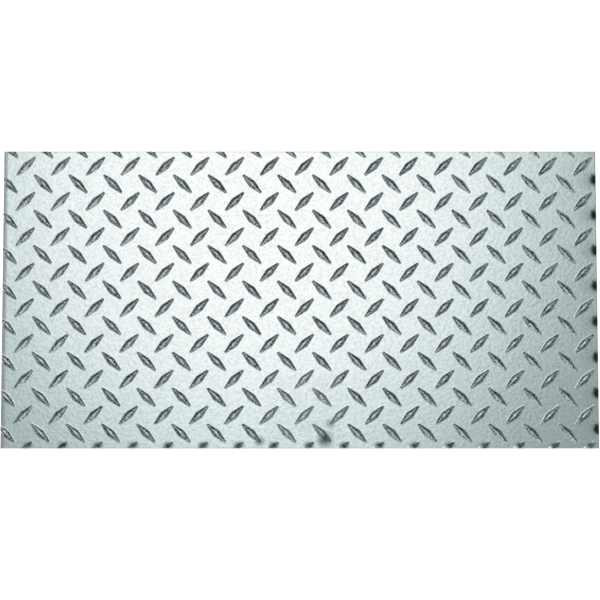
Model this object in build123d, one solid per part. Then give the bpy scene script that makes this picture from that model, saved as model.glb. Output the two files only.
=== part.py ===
"""One piece of embossed aluminium tread sheet, cut to size and lying flat.

+X runs along the sheet, +Y across it and +Z up. The origin is the middle of the underside,
the flat face that the sheet lies on. All sizes are in millimetres.

The sheet is thin. Its raised lugs are pressed through it, so each lug is hollow underneath
and its wall is as thick as the rest of the sheet. The pattern is rolled into the coil
before the piece is cut from it, so the lugs that the cut edges cross are sheared through
and show their hollow section.
"""

import os
from math import atan2, cos, degrees, floor, radians, sin, tan

from build123d import *

# The piece of stock
sheet_length = 609.6
sheet_width = 304.8
gauge = 0.635

# The pattern: lugs that lean one way, and a second set, half a pitch on, the other way
pitch_along = 35.8
pitch_across = 36.5
first_lug_from_left = 22.9
first_lug_from_back = 15.3
lug_lean = 45.0

# One lug, measured on the top face
lug_length = 26.5
lug_width = 8.4
tip_width = 2.0
crown_width = 2.0
lug_height = 1.4

# A lug is a rhombus with its long corners cut off blunt, and every flank has one slope
side_angle = degrees(atan2(lug_width - tip_width, lug_length))
flank_run = (lug_width - crown_width) / 2 * cos(radians(side_angle))
flank_slope = atan2(lug_height, flank_run)

# Drawing the punch in by this much keeps the wall of the flanks one gauge thick
punch_inset = gauge * tan(flank_slope / 2)

# How far a leaning lug reaches from its middle, along the sheet and across it
lean = radians(lug_lean)
reach_along = (lug_length * cos(lean) + tip_width * sin(lean)) / 2
reach_across = (lug_length * sin(lean) + tip_width * cos(lean)) / 2


def flanked_bar(half_width, length):
    """A bar along X whose flanks start half_width out at height 0 and rise to the crown.

    The flanks carry on down by one gauge, so that the bar sinks into what it stands on.
    """
    run_below = gauge / tan(flank_slope)
    section = Polyline(
        (-half_width - run_below, -gauge),
        (half_width + run_below, -gauge),
        (half_width - flank_run, lug_height),
        (flank_run - half_width, lug_height),
        close=True,
    )
    return extrude(Plane.YZ * make_face(section), length, both=True)


def lug_form(inset):
    """The hill of one lug along X, its foot at height 0 and drawn in by inset all round.

    Two bars that cross at the angle of the sides leave a rhombus, and a third cuts its tips.
    """
    side_bar = flanked_bar(lug_width / 2 * cos(radians(side_angle)) - inset, lug_length)
    tip_bar = flanked_bar(lug_length / 2 - inset, lug_width)
    rhombus = (Rot(0, 0, side_angle) * side_bar) & (Rot(0, 0, -side_angle) * side_bar)
    return rhombus & (Rot(0, 0, 90) * tip_bar)


def places(first, pitch, far):
    """Every place on one axis, whole pitches from the first, that is no further out than far."""
    before = floor((far + first) / pitch)
    after = floor((far - first) / pitch)
    return [first + step * pitch for step in range(-before, after + 1)]


def lug_locations():
    """Where every lug that touches the sheet stands, and which way it leans."""
    first_x = first_lug_from_left - sheet_length / 2
    first_y = sheet_width / 2 - first_lug_from_back
    far_x = sheet_length / 2 + reach_along
    far_y = sheet_width / 2 + reach_across
    one_way = (first_x, first_y, lug_lean)
    other_way = (first_x + pitch_along / 2, first_y + pitch_across / 2, -lug_lean)
    return [
        Pos(x, y, 0) * Rot(0, 0, turn)
        for start_x, start_y, turn in (one_way, other_way)
        for x in places(start_x, pitch_along, far_x)
        for y in places(start_y, pitch_across, far_y)
    ]


def pressed_blank(locations):
    """A blank larger than the piece, with the lugs raised on top and punched from below."""
    length = sheet_length + 2 * lug_length
    width = sheet_width + 2 * lug_length
    blank = Pos(0, 0, gauge / 2) * Box(length, width, gauge)
    lug = Pos(0, 0, gauge) * lug_form(0)
    punch = lug_form(punch_inset)
    raised = blank + [place * lug for place in locations]
    return raised - [place * punch for place in locations]


def sheared_to_size(pressed):
    """The part of the pressed blank that lies inside the piece's outline."""
    full_height = gauge + lug_height
    outline = Box(sheet_length, sheet_width, 4 * full_height)
    return pressed & outline


os.makedirs("parts", exist_ok=True)
locations = lug_locations()
tread_sheet = sheared_to_size(pressed_blank(locations))
export_step(tread_sheet, "parts/tread_sheet.step")
print("lugs, whole or sheared:", len(locations))
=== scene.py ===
# %% [markdown]
# # A piece of embossed aluminium tread sheet
#
# The object is one piece of thin sheet metal, 24 by 12 inches. A pair of rolls has pressed a
# pattern of long diamond lugs through it, and a shear has cut it square. There is no
# second part and nothing to join, so everything here goes into one skin: where its metal
# stands, how its edges are cut, and how bright mill-finished aluminium takes the light.
#
# The solid model gives the true size and the flat-sided form of each lug. This script lays a
# finer skin over it, with the rounded feet and crowns that pressed metal has.

# %% Load the solid model as a fixed frame
import math

import bmesh
import bpy
import numpy as np
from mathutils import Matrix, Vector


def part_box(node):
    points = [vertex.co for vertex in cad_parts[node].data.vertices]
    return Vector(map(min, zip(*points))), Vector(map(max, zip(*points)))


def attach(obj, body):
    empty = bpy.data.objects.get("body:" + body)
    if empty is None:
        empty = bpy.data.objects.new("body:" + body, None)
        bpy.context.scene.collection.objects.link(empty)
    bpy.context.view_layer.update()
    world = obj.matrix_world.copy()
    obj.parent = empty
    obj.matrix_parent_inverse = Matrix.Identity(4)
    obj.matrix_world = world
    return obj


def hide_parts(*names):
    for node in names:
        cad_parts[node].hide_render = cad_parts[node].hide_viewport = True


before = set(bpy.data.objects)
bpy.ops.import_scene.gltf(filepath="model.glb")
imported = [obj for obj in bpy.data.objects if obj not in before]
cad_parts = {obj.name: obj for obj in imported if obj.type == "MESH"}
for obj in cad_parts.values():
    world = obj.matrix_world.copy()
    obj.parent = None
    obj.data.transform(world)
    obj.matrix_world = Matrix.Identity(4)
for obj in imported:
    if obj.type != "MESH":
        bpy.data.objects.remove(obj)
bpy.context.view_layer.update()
node_name = "tread_sheet"
sheet_low, sheet_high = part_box(node_name)
MM = 0.001
print("solid model, mm:", [round(v / MM, 3) for v in sheet_high - sheet_low])

# %% [markdown]
# ## The sizes of the sheet and its pattern
#
# The length, width and full height come from the solid. The rest are the sizes of the stock: the
# gauge of the metal, the pitch of the pattern and the plan of one lug. They repeat the solid's
# own sizes, so that the skin and the solid agree.
#
# The pattern has two sets of lugs. The first leans up to the right. The second is the same lug
# seen in a mirror, and stands half a pitch on in both directions.

# %% Sizes
length = sheet_high.x - sheet_low.x
width = sheet_high.y - sheet_low.y
full_height = sheet_high.z
gauge = 0.635 * MM
lug_height = full_height - gauge

pitch_along = 35.8 * MM
pitch_across = 36.5 * MM
first_x = sheet_low.x + 22.9 * MM
first_y = sheet_high.y - 15.3 * MM

lug_length = 26.5 * MM
lug_width = 8.4 * MM
tip_width = 2.0 * MM
crown_width = 2.0 * MM

side_angle = math.atan2(lug_width - tip_width, lug_length)
half_side = lug_width / 2 * math.cos(side_angle)
flank_run = (lug_width - crown_width) / 2 * math.cos(side_angle)
flank_slope = math.atan2(lug_height, flank_run)
punch_inset = gauge * math.tan(flank_slope / 2)
print("flank slope, degrees:", round(math.degrees(flank_slope), 1))

# %% [markdown]
# ## How high the metal stands
#
# A pressed lug is a roof: every flank climbs at one slope from the foot to the crown. So the
# height at any point needs one number only, how far the point lies inside the foot of its
# lug. That number grows from 0 at the foot, and the height is that number times the
# slope, cut off at the crown.
#
# A knife-sharp roof looks like folded paper. Metal that has been through the rolls has a small
# radius wherever two faces meet. Two tools make those radii here. `soft_size` is a rounded
# absolute value, which rounds the ridge of the roof and the corner at a lug's waist. `soft_min`
# and `soft_max` join two values with a short parabola in place of a corner, which rounds the foot
# and the crown.

# %% Rounded corners as functions
ridge_rounding = 0.15 * MM
waist_rounding = 1.3 * MM
foot_rounding = 0.6 * MM
crown_rounding = 0.9 * MM


def soft_size(value, rounding):
    """The size of value without its sign: the root of value squared plus rounding squared."""
    return np.sqrt(value * value + rounding * rounding)


def soft_max(a, b, rounding):
    """The larger of two values. Within one rounding of each other a parabola joins them."""
    near = np.maximum(rounding - np.abs(a - b), 0)
    return np.maximum(a, b) + near * near / (4 * rounding)


def soft_min(a, b, rounding):
    """The smaller of two values, joined in the same way."""
    return -soft_max(-a, -b, rounding)


def depth_inside(along, across):
    """How far a point lies inside the foot of its lug, with along and across from its middle.

    The sides are straight lines that close in by side_angle, so the depth from them is
    half_side - across * cos(side_angle) - along * sin(side_angle), both taken without sign.
    The blunt tip is a third line across the lug, and the nearest line counts.
    """
    from_sides = (
        half_side
        - soft_size(across, ridge_rounding) * math.cos(side_angle)
        - soft_size(along, waist_rounding) * math.sin(side_angle)
    )
    from_tip = lug_length / 2 - np.abs(along)
    return soft_min(from_sides, from_tip, ridge_rounding)


def roof(depth):
    """The lug's height for a depth: 0 outside, then the slope, then flat on the crown."""
    climbing = soft_max(depth, 0 * depth, foot_rounding)
    return soft_min(climbing, 0 * depth + flank_run, crown_rounding) * lug_height / flank_run


print("height at the middle of a lug, mm:", np.round(roof(depth_inside(0.0, 0.0)) / MM, 3))

# %% [markdown]
# ## Which lug a point belongs to
#
# With the pitch as the unit, the first set stands on whole numbers and the second on
# halves. Rounding to the nearest whole or half number finds the nearest lug of each set, and an
# eighth turn of the axes gives the distances along and across it. Whichever set has the point
# deeper inside wins. The whole sheet is then one formula, with no list of lugs.

# %% The depth inside the pattern
HALF_ROOT = math.sqrt(0.5)


def depth_in_pattern(x, y):
    """The depth inside the nearest lug, from the nearer of the two sets."""
    depths = []
    for shift, lean in ((0.0, 1), (0.5, -1)):
        across_pitches = (x - first_x) / pitch_along - shift
        down_pitches = (first_y - y) / pitch_across - shift
        dx = (across_pitches - np.round(across_pitches)) * pitch_along
        dy = -(down_pitches - np.round(down_pitches)) * pitch_across
        along = (dx + lean * dy) * HALF_ROOT
        across = (dy - lean * dx) * HALF_ROOT
        depths.append(depth_inside(along, across))
    return np.maximum(depths[0], depths[1])


print("depth at a lug's middle, mm:", np.round(depth_in_pattern(first_x, first_y) / MM, 2))

# %% [markdown]
# ## Shear marks and a worn patch
#
# A shear pulls the surface down a little before it breaks through, so the top face rolls over
# at the very edge. On the left the roll-over is wider, and shows as a grey band. Along the right
# and front edges the shear's clamp has also pressed the cut ends of the lugs flatter.
#
# Near the middle of the front edge lies a patch where the pattern is rubbed down a little.
#
# Two helpers serve for all of these. `rolled` falls from its full depth at the edge to nothing at
# its reach, and steepest at the edge, as rolled-over metal does. `soft_step` climbs from 0 to 1
# between two limits, with a soft start and a soft stop, so a patch made with it has no outline.

# %% The marks in numbers
rim_reach = 0.9 * MM
rim_depth = 0.13 * MM
left_rim_reach = 5.0 * MM
left_rim_depth = 0.24 * MM
clamp_reach = 7.0 * MM
clamp_share = 0.7
patch_middle = (5.0 * MM, -110.0 * MM)
patch_half = (42.0 * MM, 38.0 * MM)
patch_fade = 9.0 * MM
patch_share = 0.2


def rolled(distance, reach, depth):
    """Depth at the edge, falling to nothing at reach as the square of the way left."""
    left_over = np.clip(1 - distance / reach, 0, 1)
    return depth * left_over * left_over


def rim_drop(x, y):
    """How far the top face is drawn down, from the nearest edges."""
    sides = (sheet_high.x - x, y - sheet_low.y, sheet_high.y - y)
    drop = rolled(x - sheet_low.x, left_rim_reach, left_rim_depth)
    for distance in sides:
        drop = np.maximum(drop, rolled(distance, rim_reach, rim_depth))
    return drop


def soft_step(value, low, high):
    """0 below low and 1 above high, joined by the cubic that is level at both ends."""
    share = np.clip((value - low) / (high - low), 0, 1)
    return share * share * (3 - 2 * share)


def rubbed(x, y):
    """1 in the worn patch and 0 away from it, as one soft step for each direction."""
    inside = 1.0
    for place, middle, half in zip((x, y), patch_middle, patch_half):
        inside = inside * (1 - soft_step(np.abs(place - middle), half - patch_fade, half))
    return inside


def pressed_flat(x, y):
    """The share of a lug's height that the clamp and the wear have taken away."""
    clamp = rolled(np.minimum(sheet_high.x - x, y - sheet_low.y), clamp_reach, clamp_share)
    return np.maximum(clamp, patch_share * rubbed(x, y))


print("top face drawn down at a corner, mm:", np.round(rim_drop(sheet_low.x, sheet_low.y) / MM, 2))

# %% [markdown]
# ## The two faces of the sheet
#
# The top face lies one gauge up, with the roofs standing on it. The underside is the same shape,
# because the lugs are pressed and not solid. If it were only the top face moved down, the walls
# of the sloping flanks would be too thin. So its roofs are drawn in by `punch_inset`, and the
# flanks are as thick as the flats.

# %% The height of the top face and of the underside
def top_height(x, y):
    """The top face: one gauge up, plus what is left of the roof, less the drawn-down rim."""
    standing = roof(depth_in_pattern(x, y)) * (1 - pressed_flat(x, y))
    return gauge + standing - rim_drop(x, y)


def under_height(x, y):
    """The underside: the same roof, drawn in so that the wall of a lug is one gauge thick."""
    return roof(depth_in_pattern(x, y) - punch_inset) * (1 - pressed_flat(x, y))


print("top of a lug, mm:", np.round(top_height(first_x, first_y - pitch_across) / MM, 3))
print("hollow under it, mm:", np.round(under_height(first_x, first_y - pitch_across) / MM, 3))

# %% [markdown]
# ## A net that follows the lugs
#
# A height formula still needs points to be worked out at. A plain square grid would have to be
# very fine before a slanting flank looked straight. So the net follows the metal: rings
# of points run round each lug, close together at the foot and crown where the surface
# turns, and far apart on the flats. A ring has points at the tips, at the waist, and at four
# stations between them, which are shares of the way to the tip.
#
# The lugs stand like bricks in a basket weave, each one crossing its four neighbours. The cells
# round them do the same: each is a long rectangle, and the four that meet leave a small
# square between them. One cell, turned and repeated, fills the whole sheet.

# %% The rings of one lug
half_neighbour = np.array([pitch_along / 2, pitch_across / 2])
cell_long = 0.585
cell_short = 1 - cell_long
foot_rings = foot_rounding * np.array([-1, -1 / 3, 1 / 3, 1])
crown_rings = flank_run + crown_rounding * np.array([-1, -1 / 3])
ridge_half_width = 0.25 * MM
last_ring = (flank_run + half_side - ridge_half_width) / 2
ring_depths = np.array([*foot_rings, *crown_rings, last_ring])
side_stations = (0.985, 0.8, 0.45, 0.12)


def mirrored_quarter(quarter):
    """A closed ring of 20 points from a quarter of six that runs from the tip to the waist."""
    upper = np.concatenate([quarter, (quarter * [-1, 1])[-2::-1]])
    return np.concatenate([upper, (upper * [1, -1])[-2:0:-1]])


def lug_ring(depth):
    """The points at one depth inside the foot: the outline there, drawn in by that depth.

    The half width at a distance from the waist is half_side, less the depth, less that
    distance times the sine of side_angle, all over the cosine of side_angle.
    """
    ridge = ridge_half_width * math.cos(side_angle)
    ridge_end = (half_side - depth - ridge) / math.sin(side_angle)
    tip = min(lug_length / 2 - depth, ridge_end)
    along = tip * np.array((1.0, *side_stations, 0.0))
    rounded = soft_size(along, waist_rounding)
    across = (half_side - depth - rounded * math.sin(side_angle)) / math.cos(side_angle)
    across[0] = 0.0
    return mirrored_quarter(np.stack([along, across], axis=1))


def cell_outline():
    """The cell's edge in the same 20 points, as shares of the way to the two neighbours."""
    a, b = cell_long, cell_short
    return mirrored_quarter(np.array([(a, 0), (a, b / 2), (a, b), (b, b), (b / 2, b), (0, b)]))


def lug_cell():
    """The points of one cell about its lug's middle, for a lug that leans up to the right."""
    along_axis = np.array([HALF_ROOT, HALF_ROOT])
    across_axis = np.array([-HALF_ROOT, HALF_ROOT])
    outline = cell_outline()
    edge = outline[:, :1] * half_neighbour + outline[:, 1:] * half_neighbour * [-1, 1]
    rings = [lug_ring(depth) for depth in ring_depths]
    inside = [r[:, :1] * along_axis + r[:, 1:] * across_axis for r in rings]
    return np.concatenate([edge, *inside])


cell_points = lug_cell()
ring_size = len(cell_outline())
print("points in one cell:", len(cell_points), "in rings of", ring_size)

# %% [markdown]
# ## Faces between the rings
#
# Two neighbouring rings are joined by a band of four-sided faces. The innermost ring is closed by
# pairing each point of its upper half with the one below it. Last comes the small square
# beside the cell.

# %% The faces of one cell
def cell_faces():
    """Rows of point numbers: quads between the rings, then quads and two triangles on the crown."""
    step = np.arange(ring_size)
    ahead = (step + 1) % ring_size
    starts = np.arange(len(ring_depths))[:, None] * ring_size
    band = np.stack(
        [starts + step, starts + ahead, starts + ahead + ring_size, starts + step + ring_size],
        axis=-1,
    ).reshape(-1, 4)
    crown = len(ring_depths) * ring_size
    upper = np.arange(1, ring_size // 2 - 1)
    lower = ring_size - upper
    cap = np.stack([upper, upper + 1, lower - 1, lower], axis=-1) + crown
    tips = crown + np.array(
        [(0, 1, ring_size - 1), (ring_size // 2, ring_size // 2 + 1, ring_size // 2 - 1)]
    )
    return band, cap, tips


def gap_corners():
    """The four corners of the square gap beside a cell, as offsets from its middle."""
    a, b = cell_long, cell_short
    shares = np.array([(b, b), (a, b), (a, a), (b, a)])
    return shares[:, :1] * half_neighbour + shares[:, 1:] * half_neighbour * [-1, 1]


print("faces in one cell:", sum(map(len, cell_faces())))

# %% [markdown]
# ## Repeating the cell over the sheet
#
# Adding every lug's place to the cell's points gives all the points in one step. The cell of the
# second set is the first one in a mirror, so its faces are listed backwards to keep them
# facing up.

# %% All cells as one flat net
def lug_places(shift, spare=1):
    """The middle of every lug of one set, and of a few beyond the sheet's edges."""
    columns = np.arange(-spare, int(length / pitch_along) + spare + 1) + shift
    rows = np.arange(-spare, int(width / pitch_across) + spare + 1) + shift
    column_grid, row_grid = np.meshgrid(columns, rows, indexing="ij")
    places = np.stack(
        [first_x + column_grid * pitch_along, first_y - row_grid * pitch_across], axis=-1
    )
    return places.reshape(-1, 2)


def repeat_cell(points, faces, places):
    """The points of every copy, and its faces with their numbers moved on by whole cells."""
    moved = (places[:, None, :] + points).reshape(-1, 2)
    offsets = np.arange(len(places))[:, None, None] * len(points)
    return moved, [(offsets + rows).reshape(-1, rows.shape[1]) for rows in faces]


def flat_net():
    """The whole net before it is cut: points in the plane, and faces of three or four corners."""
    points, faces = [], []
    count = 0
    gap = np.array([[0, 1, 2, 3]])
    for shift, mirror in ((0.0, 1), (0.5, -1)):
        places = lug_places(shift)
        cell = cell_points * [mirror, 1]
        rows = [f[:, ::mirror] for f in cell_faces()]
        for part in (repeat_cell(cell, rows, places), repeat_cell(gap_corners(), [gap], places)):
            points.append(part[0])
            faces += [rows_part + count for rows_part in part[1]]
            count += len(part[0])
    return np.concatenate(points), faces


net_points, net_faces = flat_net()
print("net before cutting:", len(net_points), "points,", sum(map(len, net_faces)), "faces")

# %% [markdown]
# ## Shearing the net to size
#
# The net is larger than the sheet, as the rolled coil was. BMesh welds the shared points of
# neighbouring cells, and its bisect cuts the net along a line. Four cuts throw
# away what lies outside. A few more only add points along lines beside the edges, so that
# the rolled-over rim has points to bend at.

# %% Cut the net
WELD = 0.01 * MM
rim_lines = (0.3 * MM, rim_reach)
left_rim_lines = (0.3 * MM, 1.2 * MM, 2.6 * MM, left_rim_reach)


def cut(net, x, y, facing, keep_outside):
    """Cuts the net along the line through (x, y) that facing stands square to."""
    bmesh.ops.bisect_plane(
        net,
        geom=net.verts[:] + net.edges[:] + net.faces[:],
        dist=WELD / 10,
        plane_co=(x, y, 0),
        plane_no=(*facing, 0),
        clear_outer=not keep_outside,
    )


def sheared_net(points, faces):
    """The net welded, cut to the outline, and cut again along the rim lines."""
    flat = bpy.data.meshes.new("flat_net")
    corners = np.concatenate([points, np.zeros((len(points), 1))], axis=1)
    flat.from_pydata(corners, [], [row for rows in faces for row in rows.tolist()])
    net = bmesh.new()
    net.from_mesh(flat)
    bmesh.ops.remove_doubles(net, verts=net.verts[:], dist=WELD)
    edges = (
        (sheet_low.x, 0, (-1, 0), left_rim_lines),
        (sheet_high.x, 0, (1, 0), rim_lines),
        (0, sheet_low.y, (0, -1), rim_lines),
        (0, sheet_high.y, (0, 1), rim_lines),
    )
    for x, y, facing, _ in edges:
        cut(net, x, y, facing, keep_outside=False)
    for x, y, facing, lines in edges:
        for inward in lines:
            cut(net, x - inward * facing[0], y - inward * facing[1], facing, keep_outside=True)
    net.to_mesh(flat)
    net.free()
    return flat


flat_mesh = sheared_net(net_points, net_faces)
print("net after cutting:", len(flat_mesh.vertices), "points,", len(flat_mesh.polygons), "faces")

# %% [markdown]
# ## From the flat net to a closed skin
#
# The skin has the net twice, once at the height of the top face and once, turned over, at the
# height of the underside. A strip of quads along the net's open edge joins the two, and that strip
# is the cut edge of the sheet. So three helpers come first. One reads a mesh into arrays, one
# finds the open edges, and one lists the faces backwards, which turns the underside over.

# %% Reading the net
def read(collection, name, size, kind):
    """One property of every item in a mesh collection, as an array."""
    values = np.empty(len(collection) * size, kind)
    collection.foreach_get(name, values)
    return values.reshape(-1, size) if size > 1 else values


def open_edges(corner_points, starts, totals):
    """The edges that only one face has, each as (from, to) in the order that its face has."""
    face_of = np.repeat(np.arange(len(starts)), totals)
    place = np.arange(len(corner_points)) - starts[face_of]
    following = starts[face_of] + (place + 1) % totals[face_of]
    pairs = np.stack([corner_points, corner_points[following]], axis=1)
    keys = np.sort(pairs, axis=1) @ [len(corner_points), 1]
    _, first, uses = np.unique(keys, return_index=True, return_counts=True)
    return pairs[first[uses == 1]]


def turned_over(starts, totals):
    """For each face corner, the number of the corner that takes its place in a reversed face."""
    face_of = np.repeat(np.arange(len(starts)), totals)
    place = np.arange(len(face_of)) - starts[face_of]
    return starts[face_of] + totals[face_of] - 1 - place


print("corners in the net:", len(read(flat_mesh.loops, "vertex_index", 1, np.int32)))

# %% [markdown]
# ## Shading normals
#
# Blender blends the directions of neighbouring faces to shade a smooth surface, which would make
# the flats look bent near every lug. So the shading normals come from the same formula as the
# heights, by stepping a hair to each side and taking the slope. The flats then shade as flat right
# up to the foot of a lug.

# %% Normals from the height
HAIR = 0.02 * MM


def facing_of(height, x, y):
    """The upward normal of a height formula, from its slope along x and along y."""
    slope_x = (height(x + HAIR, y) - height(x - HAIR, y)) / (2 * HAIR)
    slope_y = (height(x, y + HAIR) - height(x, y - HAIR)) / (2 * HAIR)
    normal = np.stack([-slope_x, -slope_y, np.ones_like(x)], axis=1)
    return normal / np.linalg.norm(normal, axis=1, keepdims=True)


on_a_flank = facing_of(top_height, np.array([first_x]), np.array([first_y - 2.0 * MM]))
print("normal on a flank:", np.round(on_a_flank[0], 2))

# %% [markdown]
# ## The skin as one mesh
#
# Points, faces and normals are all held in arrays. `foreach_set` writes each array into the mesh in
# one call. A mesh in Blender lists the point at every face corner, and where each face starts.

# %% Build the skin
def closed_skin(flat):
    """The mesh of the sheet: top face, underside and the cut edge between them."""
    x, y, _ = read(flat.vertices, "co", 3, np.float32).astype(float).T
    corners = read(flat.loops, "vertex_index", 1, np.int32)
    starts = read(flat.polygons, "loop_start", 1, np.int32)
    totals = read(flat.polygons, "loop_total", 1, np.int32)
    count = len(x)
    reverse = turned_over(starts, totals)
    rim = open_edges(corners, starts, totals)
    wall = np.stack([rim[:, 1], rim[:, 0], rim[:, 0] + count, rim[:, 1] + count], axis=1)

    top = np.stack([x, y, top_height(x, y)], axis=1)
    under = np.stack([x, y, under_height(x, y)], axis=1)
    all_corners = np.concatenate([corners, corners[reverse] + count, wall.ravel()])
    all_totals = np.concatenate([totals, totals, np.full(len(wall), 4)])

    skin = bpy.data.meshes.new("tread_skin")
    skin.vertices.add(2 * count)
    skin.vertices.foreach_set("co", np.concatenate([top, under]).ravel())
    skin.loops.add(len(all_corners))
    skin.loops.foreach_set("vertex_index", all_corners.astype(np.int32))
    skin.polygons.add(len(all_totals))
    first_corners = np.concatenate([[0], np.cumsum(all_totals)[:-1]])
    skin.polygons.foreach_set("loop_start", first_corners.astype(np.int32))
    skin.polygons.foreach_set("use_smooth", np.ones(len(all_totals), bool))
    skin.update(calc_edges=True)

    along_rim = top[rim[:, 1]] - top[rim[:, 0]]
    outward = np.stack([along_rim[:, 1], -along_rim[:, 0], np.zeros(len(rim))], axis=1)
    outward /= np.linalg.norm(outward, axis=1, keepdims=True)
    normals = np.concatenate(
        [
            facing_of(top_height, x, y)[corners],
            -facing_of(under_height, x, y)[corners[reverse]],
            np.repeat(outward, 4, axis=0),
        ]
    )
    skin.normals_split_custom_set(normals.tolist())
    return skin


skin_mesh = closed_skin(flat_mesh)
bpy.data.meshes.remove(flat_mesh)
tread_skin = bpy.data.objects.new("tread_skin", skin_mesh)
bpy.context.scene.collection.objects.link(tread_skin)
skin_mesh.calc_loop_triangles()
print("skin:", len(skin_mesh.vertices), "points,", len(skin_mesh.loop_triangles), "triangles")

# %% [markdown]
# ## Writing shader maths as plain expressions
#
# A material is a net of nodes. Wiring each one by hand hides the idea, so this small class wraps
# a socket and lets Python's own signs add the Math nodes: `1 - mask * 0.3` builds two of them.
# Any other node comes from `node`, which takes its type, its settings and its inputs.

# %% The socket-wrapping class
class Wire:
    """One output of a node. Adding, multiplying and so on add Math nodes behind it."""

    def __init__(self, tree, socket):
        self.tree = tree
        self.socket = socket

    def node(self, kind, settings=None, output=0, **inputs):
        """A new node of that kind. Settings come first, then its inputs by name or by number."""
        made = self.tree.nodes.new(kind)
        for name, value in (settings or {}).items():
            setattr(made, name, value)
        for name, value in inputs.items():
            self.feed(made.inputs, name, value)
        return Wire(self.tree, made.outputs[output])

    def feed(self, sockets, name, value):
        """Links a wire into a socket, or sets the socket to a plain value."""
        found = sockets[int(name[1:])] if name[0] == "_" else sockets[name.replace("_", " ")]
        if isinstance(value, Wire):
            self.tree.links.new(value.socket, found)
        else:
            found.default_value = value

    def maths(self, operation, *values):
        """A Math node of that operation on the given wires and numbers."""
        inputs = {f"_{place}": value for place, value in enumerate(values)}
        return self.node("ShaderNodeMath", {"operation": operation}, **inputs)

    def __add__(self, other):
        return self.maths("ADD", self, other)

    def __radd__(self, other):
        return self.maths("ADD", other, self)

    def __sub__(self, other):
        return self.maths("SUBTRACT", self, other)

    def __rsub__(self, other):
        return self.maths("SUBTRACT", other, self)

    def __mul__(self, other):
        return self.maths("MULTIPLY", self, other)

    def __rmul__(self, other):
        return self.maths("MULTIPLY", other, self)

    def __truediv__(self, other):
        return self.maths("DIVIDE", self, other)

    def __pow__(self, power):
        return self.maths("POWER", self, power)

    def __abs__(self):
        return self.maths("ABSOLUTE", self)

    def larger(self, other):
        """The larger of two values at each place."""
        return self.maths("MAXIMUM", self, other)

    def smaller(self, other):
        """The smaller of two values at each place."""
        return self.maths("MINIMUM", self, other)

    def climb(self, low, high):
        """0 at low, 1 at high, held at both ends, with a soft start and a soft stop."""
        share = ((self - low) / (high - low)).larger(0.0).smaller(1.0)
        return share * share * (3 - 2 * share)

    def off_whole(self):
        """How far the value lies from the nearest whole number."""
        return self - self.maths("ROUND", self)

    def along(self, direction):
        """The dot product of a vector with a fixed direction."""
        return self.node(
            "ShaderNodeVectorMath", {"operation": "DOT_PRODUCT"}, output=1, _0=self, _1=direction
        )

    def blend(self, first, second):
        """The first colour where this value is 0 and the second where it is 1."""
        settings = {"data_type": "RGBA"}
        return self.node("ShaderNodeMix", settings, output=2, Factor=self, _6=first, _7=second)


# %% [markdown]
# Every material starts in the same way, with a Principled shader and with Object coordinates. Those
# are in metres from the object's origin, so that a pattern keeps its real size.

# %% A new material
def new_material(name):
    """An empty material with a Principled shader, and a wire that carries Object coordinates."""
    material = bpy.data.materials.new(name)
    material.use_nodes = True
    tree = material.node_tree
    tree.nodes.clear()
    shader = tree.nodes.new("ShaderNodeBsdfPrincipled")
    output = tree.nodes.new("ShaderNodeOutputMaterial")
    tree.links.new(shader.outputs["BSDF"], output.inputs["Surface"])
    place = tree.nodes.new("ShaderNodeTexCoord")
    return material, shader, Wire(tree, place.outputs["Object"])


metal, metal_shader, position = new_material("mill_aluminium")
print("metal at first:", len(metal.node_tree.nodes), "nodes")

# %% [markdown]
# ## Bright mill-finished aluminium
#
# Mill finish is bare metal as the rolls leave it. It isn't polished, so its reflections are
# blurred, and it isn't even. Cloudy patches a few centimetres wide shine a little more or less,
# and a fine pebble from the rolls covers everything, coarser on the lugs where the metal was
# stretched.
#
# Three sizes of noise carry this: clouds about 33 mm wide, a mottle of 4 mm and the pebble of
# 1.5 mm. All of them vary the colour, the mottle also varies the roughness, and the mottle and the
# pebble make a low bump. How high a point lies says whether it is on a lug or on its crown.

# %% The metal's cloud and pebble
def noise(scale, detail):
    """Noise from 0 to 1 on Object coordinates. Scale is how many times it changes in a metre."""
    return position.node("ShaderNodeTexNoise", Vector=position, Scale=scale, Detail=detail)


def swing(layer, strength):
    """How far a layer of noise is from its middle value of a half, times a strength."""
    return (layer - 0.5) * strength


def up_the_lug(low, high):
    """0 below the first share of a lug's height, 1 above the second, with a soft climb."""
    return pz.climb(gauge + low * lug_height, gauge + high * lug_height)


px, py, pz = (
    position.node("ShaderNodeSeparateXYZ", output=axis, Vector=position) for axis in range(3)
)
cloud = noise(30.0, 2.0)
mottle = noise(260.0, 2.0)
pebble = noise(700.0, 1.0)
on_lug = up_the_lug(0.02, 0.3)
on_crown = up_the_lug(0.75, 0.97)
print("metal so far:", len(metal.node_tree.nodes), "nodes")

# %% [markdown]
# ## Painted shade at the cut lugs, and rubs on the metal
#
# Where the shear crossed a lug, the crushed end of the lug mirrors the dark room, and a soft dark
# spot of painted shade spreads inwards from the cut. The lugs repeat, so one spot repeated at the
# pitch is enough: the distance to the nearest lug is worked out as it was for the heights. On the
# right edge a wider and fainter halo of painted shade lies round each spot.
#
# A spot is an oval, because one of its two distances is scaled by the spot's oval number. The worn
# patch is a little greyer than the rest, with three dark rubs.

# %% Where the painted shade and the rubs are
side_spot_in = 1.0 * MM
side_spot_rise = 4.2 * MM
side_spot_reach = 7.8 * MM
side_oval = 0.88
# The wider, fainter halo of painted shade round each spot on the right edge.
shade_halo_reach = 24.0 * MM
shade_halo_oval = 1.5
shade_halo_strength = 0.36
front_spot_in = 3.4 * MM
front_spot_right = 4.8 * MM
front_spot_reach = 5.5 * MM
front_oval = 0.68
front_strength = 0.85
rubs = (
    (25.5 * MM, -143.5 * MM, 11.5 * MM, 0.8),
    (-41.0 * MM, -145.0 * MM, 8.0 * MM, 0.6),
    (31.0 * MM, -127.0 * MM, 8.0 * MM, 0.4),
)
smear_and_shade_unevenness = 0.5


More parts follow.
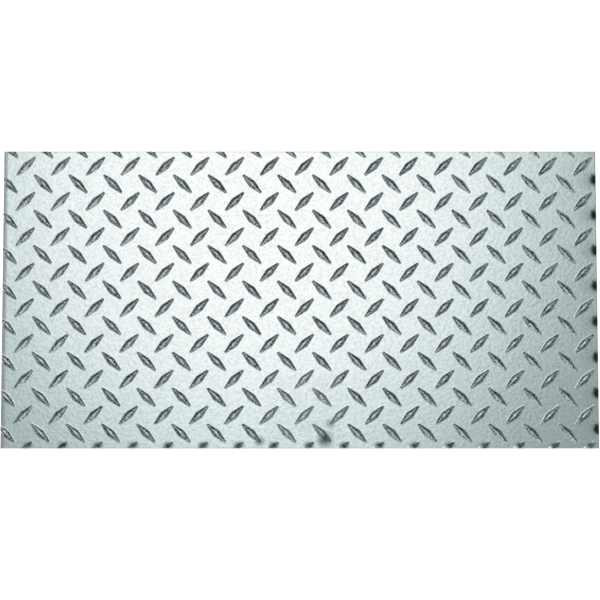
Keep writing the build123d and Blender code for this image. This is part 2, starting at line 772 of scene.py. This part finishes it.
def spot(away_x, away_y, reach):
    """1 at the middle of a spot, falling to 0 at reach in a bell shape."""
    distance = (away_x * away_x + away_y * away_y) ** 0.5
    return 1 - distance.climb(0.0, reach)


side_x = px - (sheet_high.x - side_spot_in)
side_y = ((first_y + side_spot_rise - py) / pitch_across - 0.5).off_whole() * pitch_across
front_x = ((px - first_x - front_spot_right) / pitch_along).off_whole() * pitch_along
front_y = py - (sheet_low.y + front_spot_in)
# Painted shade: a dark spot where each cut lug on the right edge mirrors the dark room, with a halo
# of painted shade round it.
side_painted_shade = spot(side_x, side_y * side_oval, side_spot_reach)
side_shade_halo = spot(side_x, side_y * shade_halo_oval, shade_halo_reach) * shade_halo_strength
# Painted shade: the same dark spots where the cut lugs meet the front edge.
front_painted_shade = spot(front_x * front_oval, front_y, front_spot_reach) * front_strength
# The painted shade at the cut lugs and the three rubs, in one mask.
smear_and_painted_shade = (side_painted_shade + side_shade_halo).larger(front_painted_shade)
for middle_x, middle_y, reach, strength in rubs:
    smear_and_painted_shade = smear_and_painted_shade.larger(spot(px - middle_x, py - middle_y, reach) * strength)
smear_and_painted_shade = smear_and_painted_shade * (1 + swing(mottle, smear_and_shade_unevenness))

worn = 1.0
for place, middle, half in zip((px, py), patch_middle, patch_half):
    worn = worn * (1 - abs(place - middle).climb(half - patch_fade, half))
print("metal with its smears:", len(metal.node_tree.nodes), "nodes")

# %% [markdown]
# ## The metal's colour
#
# Bare aluminium is almost neutral, near white where it is bright and grey where it is dull. The
# three noises and the wear decide how dull it is. The lugs also carry dark specks, where the
# stretched metal is rough. The specks are also painted shade, which darkens the lugs' flanks. The
# crowns have fewer, and so has the worn patch, which leaves the crowns lighter as a painted
# highlight.

# %% Dull metal, and dark specks that paint shade on the lugs
CLEAN_METAL = (0.99, 0.985, 0.985, 1)
DULL_METAL = (0.64, 0.65, 0.65, 1)
# Dark specks on the lugs, partly painted shade that darkens their flanks.
SPECK_AND_LUG_SHADE = (0.05, 0.065, 0.065, 1)
# The black that the painted shade at the cut lugs and the rubs mix the colour towards.
SHADE_AND_RUB_BLACK = (0.045, 0.06, 0.06, 1)
USUAL_DULLNESS = 0.14
WORN_DULLNESS = 0.14
SPECKS_IN_A_METRE = 520.0
SPECK_LIMITS = (0.535, 0.6)
SPECK_AND_SHADE_STRENGTH = 0.7
LOST_ON_CROWN = 0.35
LOST_BY_WEAR = 0.4
dullness = USUAL_DULLNESS + worn * WORN_DULLNESS
for layer, strength in ((cloud, 0.25), (mottle, 0.7), (pebble, 1.8)):
    dullness = dullness + swing(layer, strength)
dullness = dullness.larger(0.0).smaller(1.0)
grain = noise(SPECKS_IN_A_METRE, 0.0).climb(*SPECK_LIMITS)
# Fewer specks on the crowns: painted shade on the flanks, and crowns left lighter as a painted
# highlight.
speck_and_shade_strength = (SPECK_AND_SHADE_STRENGTH - LOST_ON_CROWN * on_crown) * (1 - LOST_BY_WEAR * worn)
specks_and_lug_shade = on_lug * grain * speck_and_shade_strength
tint = specks_and_lug_shade.blend(dullness.blend(CLEAN_METAL, DULL_METAL), SPECK_AND_LUG_SHADE)
print("metal with its colour:", len(metal.node_tree.nodes), "nodes")

# %% [markdown]
# ## Putting the metal together
#
# The painted shade at the cut lugs and the rubs mix the colour down towards black and make it
# rougher, so that it also stops reflecting. The pebble is a bump, nine times as deep on the lugs as
# on the flats. The bump's distance is one millimetre, so its heights are shares of that.

# %% The finished metal
ROUGHNESS = 0.21
ROUGHNESS_UNEVENNESS = 0.06
SMEAR_AND_SHADE_ROUGHNESS = 0.3
PEBBLE_HEIGHT = 0.02
PEBBLE_HEIGHT_ON_LUG = 0.16
MOTTLE_HEIGHT = 0.06
roughness = ROUGHNESS + swing(mottle, ROUGHNESS_UNEVENNESS) + smear_and_painted_shade * SMEAR_AND_SHADE_ROUGHNESS
relief = pebble * (PEBBLE_HEIGHT + PEBBLE_HEIGHT_ON_LUG * on_lug) + mottle * MOTTLE_HEIGHT
bumped = position.node("ShaderNodeBump", Strength=1.0, Distance=MM, Height=relief)
metal_shader.inputs["Metallic"].default_value = 1.0
# The colour carries painted shade: dark spots at the cut lugs, and specks that darken the lugs'
# flanks.
position.feed(metal_shader.inputs, "Base_Color", smear_and_painted_shade.blend(tint, SHADE_AND_RUB_BLACK))
position.feed(metal_shader.inputs, "Roughness", roughness)
position.feed(metal_shader.inputs, "Normal", bumped)
skin_mesh.materials.append(metal)

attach(tread_skin, "root")
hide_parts(node_name)
print("metal:", len(metal.node_tree.nodes), "nodes")

# %% [markdown]
# ## The light
#
# Bare metal has no colour of its own to speak of. It shows what stands round it, so the light on
# it is painted as a whole room in the world's nodes, and every value is a brightness in one
# direction. A lamp in that room is a round patch of brightness with a soft edge. It needs only the
# angle between the direction that is looked in and the direction of its middle.

# %% A room and its lamps
world = bpy.data.worlds.new("studio")
world.use_nodes = True
bpy.context.scene.world = world
room_place = world.node_tree.nodes.new("ShaderNodeTexCoord")
direction = Wire(world.node_tree, room_place.outputs["Generated"])
sky_x, sky_y, sky_z = (
    direction.node("ShaderNodeSeparateXYZ", output=axis, Vector=direction) for axis in range(3)
)


def heading(from_zenith, turn):
    """A direction from its angle off straight up and its turn from +X, in degrees."""
    away, round_z = math.radians(from_zenith), math.radians(turn)
    return (
        math.sin(away) * math.cos(round_z),
        math.sin(away) * math.sin(round_z),
        math.cos(away),
    )


def lamp(from_zenith, turn, full, none, brightness):
    """A lamp's brightness: all of it within the angle full of its middle, and 0 beyond none."""
    nearness = direction.along(heading(from_zenith, turn))
    angle = nearness.maths("ARCCOSINE", nearness)
    return (1 - angle.climb(math.radians(full), math.radians(none))) * brightness


print("an empty room:", len(world.node_tree.nodes), "nodes")

# %% [markdown]
# Straight above, a little to the back left, hangs a large soft box. The flats of the sheet mirror
# it and come out nearly white, fading to grey at the front right, where its edge shows. Its two
# dimmer neighbours, one in front and one behind, light the flats near those edges and the
# flanks that face them. A wide spill keeps the rest of the room from being black. The other flanks
# of the lugs mirror that dim part, so they come out dark.
#
# Near the floor the room is white all round, as in front of a paper backdrop. Four pale screens
# stand square to the sheet's sides, so that it is bright when it is seen from low down too. The
# size of (x squared less y squared) over (x squared plus y squared) is 1 towards each screen and 0
# half-way between two, and a high power of it leaves a narrow one.

# %% The room's brightness in every direction
BOX_HEADING = (8.9, 104.0)
DIMMEST = 0.02
BACKDROP_TOP = (0.18, 0.42)
SCREEN_TOP = (0.5, 0.9)
SCREEN_POWER = 9
SCREEN_BRIGHTNESS = 0.5
NOT_ZERO = 0.0001
soft_box = lamp(*BOX_HEADING, full=11.3, none=17.2, brightness=0.86)
back_fill = lamp(16.0, 95.0, full=13.0, none=21.0, brightness=0.38)
front_fill = lamp(31.0, 268.0, full=14.0, none=30.0, brightness=0.35)
spill = lamp(7.0, 253.0, full=32.0, none=66.0, brightness=0.24)
overhead = soft_box.larger(back_fill) + spill + front_fill + DIMMEST

backdrop = 1 - sky_z.climb(*BACKDROP_TOP)
level_squared = (sky_x * sky_x + sky_y * sky_y).larger(NOT_ZERO)
square_on = abs((sky_x * sky_x - sky_y * sky_y) / level_squared) ** SCREEN_POWER
screens = square_on * (1 - sky_z.climb(*SCREEN_TOP)) * SCREEN_BRIGHTNESS
brightness = (overhead + screens * (1 - backdrop)).larger(backdrop)
print("world so far:", len(world.node_tree.nodes), "nodes")

# %% [markdown]
# The dim part of the room is a cool grey-green, and so is the outer part of the soft box. Only its
# core is white. That is why the sides of the sheet look cooler than its middle.

# %% The room's colour
WHITE = (1.0, 1.0, 1.0, 1)
COOL = (0.81, 1.0, 1.0, 1)
box_core = lamp(*BOX_HEADING, full=8.5, none=12.5, brightness=1.0)
whiteness = box_core.larger(backdrop)
background = world.node_tree.nodes["Background"]
direction.feed(background.inputs, "Color", whiteness.blend(COOL, WHITE))
direction.feed(background.inputs, "Strength", brightness)
print("world:", len(world.node_tree.nodes), "nodes")

# %% [markdown]
# ## The floor
#
# The sheet lies on a plain white floor. More light would bleach the metal, so the whiteness comes
# from the colour: for the camera and for reflections, Light Path adds a glow to the floor that
# brings it up to white. Its own shading is still there under the glow, and that keeps the shadow
# along the sheet's edges.

# %% Floor
FLOOR_SIZE = 6.0
FLOOR_GLOW = 0.85
PAPER = (0.9, 0.9, 0.9, 1)
BLACK = (0.0, 0.0, 0.0, 1)


def flat_square(name, half):
    """A level square of four points about the origin."""
    corners = [(-half, -half, 0), (half, -half, 0), (half, half, 0), (-half, half, 0)]
    mesh = bpy.data.meshes.new(name)
    mesh.from_pydata(corners, [], [(0, 1, 2, 3)])
    square = bpy.data.objects.new(name, mesh)
    bpy.context.scene.collection.objects.link(square)
    return square


floor = flat_square("pale_floor", FLOOR_SIZE / 2)
floor_paint, floor_shader, floor_place = new_material("pale_floor_paint")
floor_shader.inputs["Base Color"].default_value = PAPER
floor_shader.inputs["Roughness"].default_value = 0.9
floor_shader.inputs["Specular IOR Level"].default_value = 0.0
floor_shader.inputs["Emission Strength"].default_value = FLOOR_GLOW
camera_ray, glossy_ray, transmitted_ray = (
    floor_place.node("ShaderNodeLightPath", output=name)
    for name in ("Is Camera Ray", "Is Glossy Ray", "Is Transmission Ray")
)
seen = camera_ray.larger(glossy_ray).larger(transmitted_ray)
floor_place.feed(floor_shader.inputs, "Emission_Color", seen.blend(BLACK, WHITE))
floor.data.materials.append(floor_paint)
print("floor:", FLOOR_SIZE, "m square")

# %% [markdown]
# ## Camera
#
# The view is from almost straight above, with a long lens. The picture's lower edge is a little
# wider than its upper edge, so the camera leans a few degrees towards the front.

# %% Camera
camera_distance = 1.2
camera_lean = math.radians(3.06)
camera_aim = np.array([0.2, -0.9, 0.0]) * MM
camera_lens = 70.23
sensor_width = 36.0
camera_data = bpy.data.cameras.new("camera")
camera_data.lens = camera_lens
camera_data.sensor_width = sensor_width
camera = bpy.data.objects.new("camera", camera_data)
toward_camera = np.array([0, -math.sin(camera_lean), math.cos(camera_lean)])
camera.location = camera_aim + camera_distance * toward_camera
camera.rotation_euler = (camera_lean, 0, 0)
bpy.context.scene.collection.objects.link(camera)
bpy.context.scene.camera = camera
bpy.context.scene.view_settings.view_transform = "Standard"
print("camera at:", [round(v, 3) for v in camera.location])
